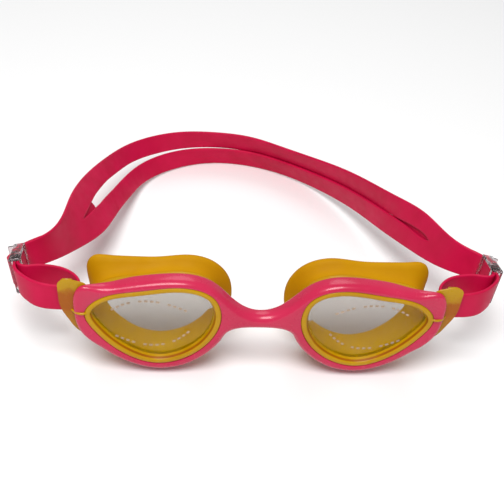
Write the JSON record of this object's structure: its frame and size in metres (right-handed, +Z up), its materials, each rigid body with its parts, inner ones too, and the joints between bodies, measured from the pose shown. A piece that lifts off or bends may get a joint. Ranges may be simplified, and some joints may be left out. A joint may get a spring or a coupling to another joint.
{
  "type": "swim goggles",
  "caption": "Swim goggles with clear lenses, soft eyecups, a rigid front frame and a split head strap that adjusts through a clear buckle at each side.",
  "frame": {"origin": "middle of the object's width and depth, on the surface that it stands on", "axes": "+Z up, -Y out through the lenses, +X to the right of someone looking at the lenses"},
  "size_m": [0.191, 0.1576, 0.0442],
  "materials": {
    "frame": "glossy",
    "rim": "glossy",
    "seal": "matte",
    "lens": "clear",
    "film": "clear",
    "strap": "satin",
    "buckle": "clear"
  },
  "bodies": {
    "frame": {"front_frame": "frame", "left_rim": "rim", "right_rim": "rim", "left_seal": "seal", "right_seal": "seal", "left_lens": "lens", "right_lens": "lens", "left_lens_film": "film", "right_lens_film": "film"},
    "strap": {"head_strap": "strap"},
    "left_buckle": {"left_buckle": "buckle"},
    "right_buckle": {"right_buckle": "buckle"}
  },
  "joints": [
    {"name": "strap_tilt", "type": "hinge", "parent": "frame", "child": "strap", "pos_m": [0, -0.0729, 0.03325], "axis": [1, 0, 0], "range_deg": [-12, 20], "deforming": ["head_strap"]},
    {"name": "left_buckle_slide", "type": "slide", "parent": "strap", "child": "left_buckle", "axis": [0, 0.9798, -0.2], "range_m": [0, 0.01], "deforming": ["head_strap"]},
    {"name": "right_buckle_slide", "type": "slide", "parent": "strap", "child": "right_buckle", "axis": [0, 0.9798, -0.2], "range_m": [0, 0.01], "deforming": ["head_strap"]}
  ]
}
